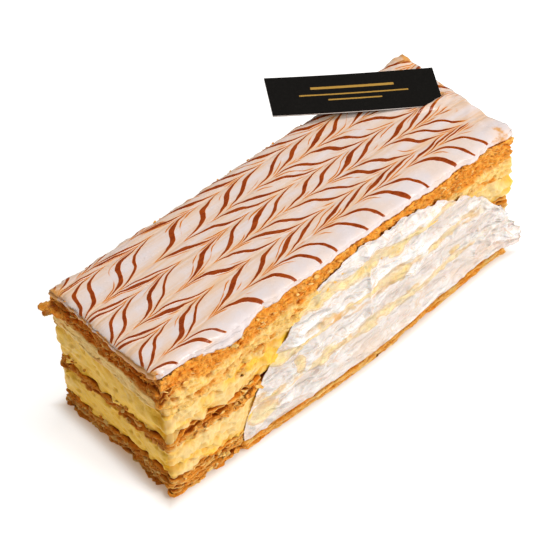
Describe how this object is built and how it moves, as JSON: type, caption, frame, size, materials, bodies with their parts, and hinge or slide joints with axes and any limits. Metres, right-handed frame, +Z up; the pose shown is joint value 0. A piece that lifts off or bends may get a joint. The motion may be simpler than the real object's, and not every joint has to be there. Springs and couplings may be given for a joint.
{
  "type": "mille feuille slice",
  "caption": "Rectangular iced custard slice of flaky pastry and cream layers with feathered icing, a paper strip on one side and a blank card on top.",
  "frame": {"origin": "middle of the slice's flat base, on the surface that it stands on", "axes": "+X along the slice's length, from the plain cut end towards the end under the card; +Y across it, away from the paper strip; +Z up"},
  "size_m": [0.1338, 0.0625, 0.053],
  "materials": {
    "pastry": "dry flaky golden-brown baked pastry",
    "cream": "soft moist yellow custard cream",
    "icing": "glossy white fondant with feathered caramel-brown lines",
    "paper": "thin crinkled translucent baking paper",
    "card": "smooth satin black card with a white core"
  },
  "bodies": {
    "root": {"pastry_bottom": "pastry", "cream_lower": "cream", "pastry_middle": "pastry", "cream_upper": "cream", "pastry_top": "pastry", "icing": "icing", "paper_strip": "paper", "label_card": "card"}
  },
  "joints": []
}
